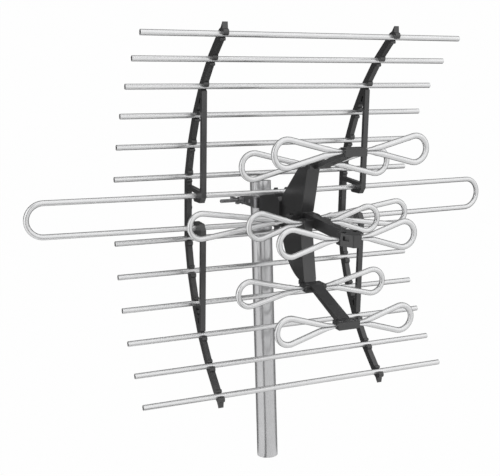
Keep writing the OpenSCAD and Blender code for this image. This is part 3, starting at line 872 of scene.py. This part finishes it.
@dataclass(frozen=True)
class Screw:
    """The sizes of one kind of screw in millimetres."""

    head: float
    thick: float
    shank: float
    length: float


@dataclass
class Screws:
    """The small screws of the loops, the cover and the arms, with cross recesses."""

    finishes: Finishes
    sides: int = 24
    shank_sides: int = 16
    head_taper: float = 0.35
    recess_half: float = 0.45
    recess_reach: float = 1.7
    recess_depth: float = 0.9
    pitch: float = 0.7
    groove: float = 0.25
    point_taper: float = 0.4
    point_length: float = 0.3
    neck: float = 1.0
    into_head: float = 0.05
    loop_screw: Screw = Screw(3.1, 1.6, 1.5, 7.4)
    cover_screw: Screw = Screw(3.1, 1.2, 1.5, 6.9)
    arm_screw: Screw = Screw(3.5, 1.6, 2.0, 7.4)
    loop_inset: float = 8.0
    boom_seat: float = 3.0
    arm_seat: float = 4.0
    cover_seats: tuple = ((12.4, -18.5, -1.5), (12.4, -55.5, -1.5))
    lap_x: float = 134.5
    lap_y: float = 2.5
    lap_seat: float = 4.0

    def cross(self, shape: bmesh.types.BMesh, top: float) -> None:
        """Sinks a cross in the middle of a head.

        Args:
            shape: the head, with its axis along Z.
            top: the height of its top face in metres.
        """
        half, reach = self.recess_half * MM, self.recess_reach * MM

        def upper() -> list[bmesh.types.BMFace]:
            """Gives the faces of the top."""
            return [f for f in shape.faces if abs(f.calc_center_median().z - top) < 1e-7]

        for axis in (Vector((1, 0, 0)), Vector((0, 1, 0))):
            for place in (-reach, -half, half, reach):
                faces = upper()
                parts = {*faces, *(e for f in faces for e in f.edges), *(v for f in faces for v in f.verts)}
                bmesh.ops.bisect_plane(
                    shape, geom=list(parts), dist=1e-8, plane_co=axis * place, plane_no=axis
                )
        chosen = []
        for face in upper():
            middle = face.calc_center_median()
            near, far = sorted((abs(middle.x), abs(middle.y)))
            if near < half and far < reach:
                chosen.append(face)
        sunk = bmesh.ops.extrude_face_region(shape, geom=chosen)["geom"]
        verts = [g for g in sunk if isinstance(g, bmesh.types.BMVert)]
        bmesh.ops.translate(shape, vec=(0, 0, -self.recess_depth * MM), verts=verts)

    def stem(self, size: Screw) -> bpy.types.Mesh:
        """Makes the threaded shank below the head.

        Args:
            size: the screw's sizes.

        Returns:
            The mesh, along Z.
        """
        outline = [(-size.length, 0.0), (-size.length, size.shank - self.point_taper)]
        outline += thread(self.point_length - size.length, -self.neck, size.shank, self.pitch, self.groove)
        outline += [(self.into_head, size.shank), (self.into_head, 0.0)]
        shape = turned(outline, self.shank_sides, closed=False)
        bmesh.ops.rotate(shape, verts=shape.verts, matrix=Matrix.Rotation(-math.pi / 2, 3, "Y"))
        mesh = bpy.data.meshes.new("screw_stem")
        shape.to_mesh(mesh)
        shape.free()
        return mesh

    def screw(self, size: Screw) -> bpy.types.Mesh:
        """Makes a screw along Z, with the underside of its head at the origin.

        Args:
            size: the screw's sizes.

        Returns:
            The mesh.
        """
        shape = bmesh.new()
        bmesh.ops.create_cone(
            shape,
            cap_ends=True,
            segments=self.sides,
            radius1=size.head * MM,
            radius2=(size.head - self.head_taper) * MM,
            depth=size.thick * MM,
            matrix=Matrix.Translation((0, 0, size.thick * MM / 2)),
        )
        self.cross(shape, size.thick * MM)
        shape.from_mesh(self.stem(size))
        mesh = bpy.data.meshes.new("screw")
        shape.to_mesh(mesh)
        shape.free()
        return mesh

    def set_in(self, node: str, size: Screw, seats: list[tuple[tuple, tuple]]) -> None:
        """Puts copies of a screw in their seats as one piece.

        Args:
            node: the CAD node it stands for.
            size: the screw's sizes.
            seats: places in level millimetres and the ways that the heads face.
        """
        screw = self.screw(size)
        shape = bmesh.new()
        for place, way in seats:
            before = len(shape.verts)
            shape.from_mesh(screw)
            shape.verts.ensure_lookup_table()
            turn = Vector(way).to_track_quat("Z", "Y").to_matrix().to_4x4()
            move = Matrix.Translation(Vector(place) * MM) @ turn
            bmesh.ops.transform(shape, matrix=move, verts=shape.verts[before:])
        name = f"{node}_set"
        add_piece(name, to_mesh(name, shape, AIM), self.finishes.zinc, (node,))

    def build(self) -> None:
        """Builds the three kinds of screw."""
        seats = []
        for pair in loop_pairs():
            z = pair.z - pair.arm * self.arm_seat if pair.arm else pair.z + self.boom_seat
            way = (0, 0, -pair.arm if pair.arm else 1)
            seats += [((s * (pair.half - self.loop_inset), -pair.front, z), way) for s in (-1, 1)]
        self.set_in("loop_screws", self.loop_screw, seats)
        aside = (1, 0, 0)
        self.set_in("cover_screws", self.cover_screw, [(place, aside) for place in self.cover_seats])
        laps = [((s * self.lap_x + self.lap_seat, self.lap_y, 0.0), aside) for s in (-1, 1)]
        self.set_in("arm_screws", self.arm_screw, laps)


@dataclass
class Fittings:
    """The mast clamp with its bolt, rivets and wing nut, the pivot bolt and the coaxial socket."""

    finishes: Finishes
    sides: int = 24
    bolt_y: float = 24.0
    bolt_rise: float = 3.5
    bolt_r: float = 2.95
    bolt_tail: float = 60.0
    tail_r: float = 2.2
    tail_chamfer: float = 0.5
    thread_r: float = 3.0
    thread_pitch: float = 1.0
    groove: float = 0.45
    thread_end: float = 24.0
    thread_run_out: float = 0.2
    washer_end: float = 22.3
    into_head: float = 0.1
    head_r: float = 5.8
    head_t: float = 4.2
    head_chamfer: float = 1.3
    rivet: tuple = (
        (18.2, 0.0), (18.2, 2.0), (20.7, 2.0), (20.7, 4.0), (21.3, 3.85), (21.9, 3.2), (22.3, 2.2),
        (22.48, 1.0), (22.5, 0.0),
    )
    socket_place: tuple[float, float, float] = (0.0, -30.0, -43.0)
    socket_length: float = 18.9
    socket_thread: float = 11.0
    socket_r: float = 4.75
    socket_shank: float = 4.7
    socket_lip: float = 4.2
    socket_pitch: float = 0.8
    socket_groove: float = 0.35
    socket_chamfer: float = 0.3
    socket_bore: float = 2.6
    socket_depth: float = 10.8
    socket_sides: int = 32
    edges: dict[str, tuple[float, int]] = field(
        default_factory=lambda: {
            "clamp_jaw_left": (0.5, 3),
            "clamp_jaw_right": (0.5, 3),
            "clamp_grips": (0.15, 1),
            "clamp_washers": (0.3, 2),
            "clamp_wing_nut": (0.8, 4),
            "pivot_bolt": (0.6, 3),
            "socket_nut": (0.35, 2),
        }
    )

    def bolt(self) -> None:
        """Builds the cross bolt with its threaded tail and hexagon head."""
        tail, under = -self.bolt_tail, self.washer_end + self.into_head
        outline = [(tail, 0.0), (tail, self.tail_r)]
        tail += self.tail_chamfer
        outline += thread(tail, -self.thread_end, self.thread_r, self.thread_pitch, self.groove)
        plain = self.thread_run_out - self.thread_end
        outline += [(plain, self.bolt_r), (under, self.bolt_r), (under, 0.0)]
        shape = turned(outline, self.sides, closed=False)
        middle = Matrix.Translation(((self.washer_end + self.head_t / 2) * MM, 0, 0))
        made = bmesh.ops.create_cone(
            shape,
            cap_ends=True,
            segments=6,
            radius1=self.head_r * MM,
            radius2=self.head_r * MM,
            depth=self.head_t * MM,
            matrix=middle @ Matrix.Rotation(math.pi / 2, 4, "Y"),
        )
        outer = [v for v in made["verts"] if v.co.x > (self.washer_end + self.head_t / 2) * MM]
        bmesh.ops.bevel(
            shape,
            geom=outer,
            offset=self.head_chamfer * MM,
            offset_type="OFFSET",
            affect="VERTICES",
            segments=1,
            profile=0.5,
            material=-1,
            clamp_overlap=True,
        )
        place = Matrix.Translation((0, self.bolt_y * MM, (PLAN.clamp_height + self.bolt_rise) * MM))
        mesh = to_mesh("clamp_bolt_turned", shape, place)
        add_piece("clamp_bolt_turned", mesh, self.finishes.zinc, ("clamp_bolt",))

    def rivets(self) -> None:
        """Builds the two domed rivets of the grips."""
        shape = turned(list(self.rivet), self.sides, closed=False)
        whole = shape.verts[:] + shape.edges[:] + shape.faces[:]
        bmesh.ops.mirror(shape, geom=whole, axis="X", merge_dist=0.0)
        place = Matrix.Translation((0, 0, (PLAN.clamp_height + self.bolt_rise) * MM))
        mesh = to_mesh("clamp_rivets_domed", shape, place)
        add_piece("clamp_rivets_domed", mesh, self.finishes.zinc, ("clamp_rivets",))

    def socket(self) -> None:
        """Builds the threaded coaxial socket under the housing."""
        bore, depth, chamfer = self.socket_bore, self.socket_depth, self.socket_chamfer
        outline = [(depth, 0.0), (depth, bore), (chamfer, bore)]
        outline += [(0.0, bore + chamfer), (0.0, self.socket_lip)]
        outline += thread(chamfer, self.socket_thread, self.socket_r, self.socket_pitch, self.socket_groove)
        outline += [(x, self.socket_shank) for x in (self.socket_thread, self.socket_length)]
        outline += [(self.socket_length, 0.0)]
        upright = Matrix.Rotation(-math.pi / 2, 4, "Y")
        place = AIM @ Matrix.Translation(Vector(self.socket_place) * MM) @ upright
        mesh = to_mesh("output_socket_turned", turned(outline, self.socket_sides, closed=False), place)
        add_piece("output_socket_turned", mesh, self.finishes.zinc, ("output_socket",))

    def build(self) -> None:
        """Builds every plated piece but the small screws."""
        for node, (radius, segments) in self.edges.items():
            mesh = softened(node, radius, segments)
            dress(f"{node}_plated", mesh, self.finishes.zinc, node)
        self.bolt()
        self.rivets()
        self.socket()


@dataclass
class MastAndBoard:
    """The mast tube and the printed board inside the housing."""

    finishes: Finishes
    mast_sides: int = 96
    mast_lip: float = 0.4
    board_edge: float = 0.15

    def build(self) -> None:
        """Builds both pieces."""
        outline = tube_outline(0, PLAN.mast_length, PLAN.mast_d / 2, PLAN.mast_wall, self.mast_lip)
        upright = Matrix.Rotation(-math.pi / 2, 4, "Y")
        mesh = to_mesh("mast_tube", turned(outline, self.mast_sides), upright)
        add_piece("mast_tube", mesh, self.finishes.mast, ("mast",))
        painted_shade_bore(mesh, self.finishes.bore, upright, PLAN.mast_d / 2 - PLAN.mast_wall)
        board = softened("balun_board", self.board_edge)
        dress("balun_circuit", board, self.finishes.board, "balun_board")


@dataclass(frozen=True)
class Lamp:
    """One soft lamp: its place and side in metres, and its power in watts."""

    name: str
    place: tuple[float, float, float]
    side: float
    power: float
    mirrored: bool


@dataclass
class Studio:
    """Floor, backdrop, flag, lamps, sky and camera."""

    camera_place: tuple[float, float, float] = (-624.98, -1271.19, 244.30)
    camera_yaw: float = 25.02
    camera_pitch: float = -12.03
    camera_roll: float = 0.97
    focal_px: float = 915.37
    frame_px: float = 500.0
    sensor: float = 36.0
    middle: tuple[float, float, float] = (0.0, -0.1, 0.42)
    white: float = 0.99
    through_gaps: float = 0.9
    sky_even: float = 0.62
    sky_front: float = 1.05
    sky_back: float = 0.16
    sky_turn: tuple[float, float] = (-0.15, 0.25)
    paper_start: float = -4.0
    paper_half: float = 6.0
    paper_moves: tuple = ((0, 7.0, 0), (0, 0.6, 0.1), (0, 0.5, 0.4), (0, 0.15, 0.8), (0, 0, 3.5))
    paper_stops: tuple = (
        (0.0, 1.0), (0.1, 1.0), (0.12, 0.0), (0.15, 0.0), (0.17, 0.8), (0.44, 0.8), (0.5, 0.05),
        (0.86, 0.05), (0.92, 1.0),
    )
    flag_place: tuple[float, float, float] = (-1.2, -1.35, 0.6)
    flag_width: float = 0.5
    flag_height: float = 2.4
    lamps: tuple[Lamp, ...] = (
        Lamp("top_softbox", (-0.2, -0.7, 2.3), 1.4, 8.0, False),
        Lamp("front_softbox", (1.4, -2.3, 1.1), 1.8, 20.0, False),
        Lamp("left_panel", (-2.2, -0.4, 0.9), 1.8, 5.0, True),
    )

    def stand(self, name: str, data: bpy.types.Mesh | bpy.types.Light) -> bpy.types.Object:
        """Puts a sheet or a lamp in the studio.

        Args:
            name: its name.
            data: its mesh or its light.

        Returns:
            The object.
        """
        thing = bpy.data.objects.new(name, data)
        bpy.context.scene.collection.objects.link(thing)
        return thing

    def paper(self) -> bpy.types.Material:
        """Makes white paper, which the camera sees nearly white.

        Reflections see it bright on the left and in front, with a dark line between the
        two and dark behind, as the mast shows it.

        Returns:
            Its material.
        """
        graph = Graph("white_paper")
        path = graph.add("ShaderNodeLightPath").outputs
        centred = {"Vector": graph.place()}
        bearing = graph.add("ShaderNodeTexGradient", {"gradient_type": "RADIAL"}, centred).outputs["Fac"]
        mirrored = graph.add("ShaderNodeValToRGB", {"stops": self.paper_stops}, {0: bearing})
        glossy = Value(graph, path["Is Glossy Ray"]) * Value(graph, mirrored.outputs[0])
        seen = self.white * Value(graph, path["Is Camera Ray"]) + glossy
        seen = seen + self.through_gaps * Value(graph, path["Is Transmission Ray"])
        glow = graph.add("ShaderNodeEmission", {}, {"Color": (1, 1, 1, 1), "Strength": 1.0})
        matt = graph.add("ShaderNodeBsdfDiffuse", {}, {"Color": (0.15, 0.15, 0.15, 1)})
        mix = graph.add("ShaderNodeMixShader", {}, {0: seen, 1: matt.outputs[0], 2: glow.outputs[0]})
        graph.add("ShaderNodeOutputMaterial", {}, {"Surface": mix.outputs[0]})
        return graph.material

    def floor(self) -> None:
        """Lays one sheet of paper: an edge along X, drawn out as the floor and up as the backdrop."""
        shape = bmesh.new()
        verts = [shape.verts.new((x, self.paper_start, 0)) for x in (-self.paper_half, self.paper_half)]
        ring = [shape.edges.new(verts)]
        for move in self.paper_moves:
            made = bmesh.ops.extrude_edge_only(shape, edges=ring)["geom"]
            new = [g for g in made if isinstance(g, bmesh.types.BMVert)]
            bmesh.ops.translate(shape, vec=move, verts=new)
            ring = [g for g in made if isinstance(g, bmesh.types.BMEdge) and set(g.verts) == set(new)]
        mesh = bpy.data.meshes.new("studio_paper")
        shape.to_mesh(mesh)
        shape.free()
        mesh.shade_smooth()
        mesh.materials.append(self.paper())
        self.stand("studio_paper", mesh)

    def flag(self) -> None:
        """Stands a narrow black flag that draws the dark line down the mast."""
        graph = Graph("black_flag")
        matt = graph.add("ShaderNodeBsdfDiffuse", {}, {"Color": (0.01, 0.01, 0.01, 1)})
        graph.add("ShaderNodeOutputMaterial", {}, {"Surface": matt.outputs[0]})
        shape = bmesh.new()
        place = Vector(self.flag_place)
        turn = (Vector((0, 0, place.z)) - place).to_track_quat("Z", "Y").to_matrix().to_4x4()
        size = Matrix.Diagonal((self.flag_width / 2, self.flag_height / 2, 1, 1))
        stood = Matrix.Translation(place) @ turn @ size
        bmesh.ops.create_grid(shape, x_segments=1, y_segments=1, size=1.0, matrix=stood)
        mesh = bpy.data.meshes.new("black_flag")
        shape.to_mesh(mesh)
        shape.free()
        mesh.materials.append(graph.material)
        self.stand("black_flag", mesh)

    def hang(self, lamp: Lamp) -> None:
        """Hangs one soft lamp that faces the antenna's middle.

        Args:
            lamp: the lamp's sizes.
        """
        data = bpy.data.lights.new(lamp.name, "AREA")
        data.size = lamp.side
        data.energy = lamp.power
        hung = self.stand(lamp.name, data)
        turn = (Vector(self.middle) - Vector(lamp.place)).to_track_quat("-Z", "Y")
        hung.matrix_world = Matrix.Translation(lamp.place) @ turn.to_matrix().to_4x4()
        hung.visible_glossy = lamp.mirrored

    def sky(self) -> None:
        """Fills the studio with even light.

        The camera sees it white. Reflections see it bright in front of the antenna and
        dim behind it, which draws the dark edges of the tubes.
        """
        graph = Graph("studio_sky", sky=True)
        path = graph.add("ShaderNodeLightPath").outputs
        camera, glossy = Value(graph, path["Is Camera Ray"]), Value(graph, path["Is Glossy Ray"])
        direction = graph.add("ShaderNodeTexCoord").outputs["Generated"]
        way = graph.add("ShaderNodeSeparateXYZ", {}, {0: direction})
        behind = graph.ramp(Value(graph, way.outputs["Y"]), *self.sky_turn)
        mirrored = self.sky_front - (self.sky_front - self.sky_back) * behind
        others = 1.0 - camera - glossy
        strength = self.white * camera + glossy * mirrored + self.sky_even * others
        back = graph.add("ShaderNodeBackground", {}, {"Color": (1, 1, 1, 1), "Strength": strength})
        graph.add("ShaderNodeOutputWorld", {}, {"Surface": back.outputs[0]})
        bpy.context.scene.world = graph.material

    def camera(self) -> None:
        """Sets the camera where the photograph was taken from."""
        yaw, pitch = math.radians(self.camera_yaw), math.radians(self.camera_pitch)
        roll = math.radians(self.camera_roll)
        ahead = Vector((math.sin(yaw) * math.cos(pitch), math.cos(yaw) * math.cos(pitch), math.sin(pitch)))
        right = Vector((math.cos(yaw), -math.sin(yaw), 0))
        up = right.cross(ahead)
        side = math.cos(roll) * right + math.sin(roll) * up
        top = -math.sin(roll) * right + math.cos(roll) * up
        level = Matrix((side, top, -ahead)).transposed().to_4x4()
        level.translation = Vector(self.camera_place) * MM
        data = bpy.data.cameras.new("photo_camera")
        data.sensor_width = self.sensor
        data.lens = self.focal_px * self.sensor / self.frame_px
        camera = bpy.data.objects.new("photo_camera", data)
        camera.matrix_world = AIM @ level
        bpy.context.scene.collection.objects.link(camera)
        bpy.context.scene.camera = camera

    def build(self) -> None:
        """Builds the studio."""
        self.floor()
        self.flag()
        self.sky()
        for lamp in self.lamps:
            self.hang(lamp)
        self.camera()
        bpy.context.scene.view_settings.view_transform = "Standard"


def write_sizes() -> None:
    """Defines a helper that turns a pair of corners into plain numbers, and writes nothing."""

    def plain(box: tuple) -> list[list[float]]:
        """Turns a pair of corners into plain numbers."""
        return [[float(value) for value in corner] for corner in box]


def main() -> None:
    """Builds the antenna, its mast and the studio."""
    logging.basicConfig(level=logging.INFO, format="%(message)s")
    finishes = Finishes()
    for assembly in (Reflector, DirectorLoops, LongLoop, Mouldings, Screws, Fittings, MastAndBoard):
        LOG.info("building %s", assembly.__name__)
        assembly(finishes).build()
    Studio().build()
    write_sizes()


if __name__ == "__main__":
    main()
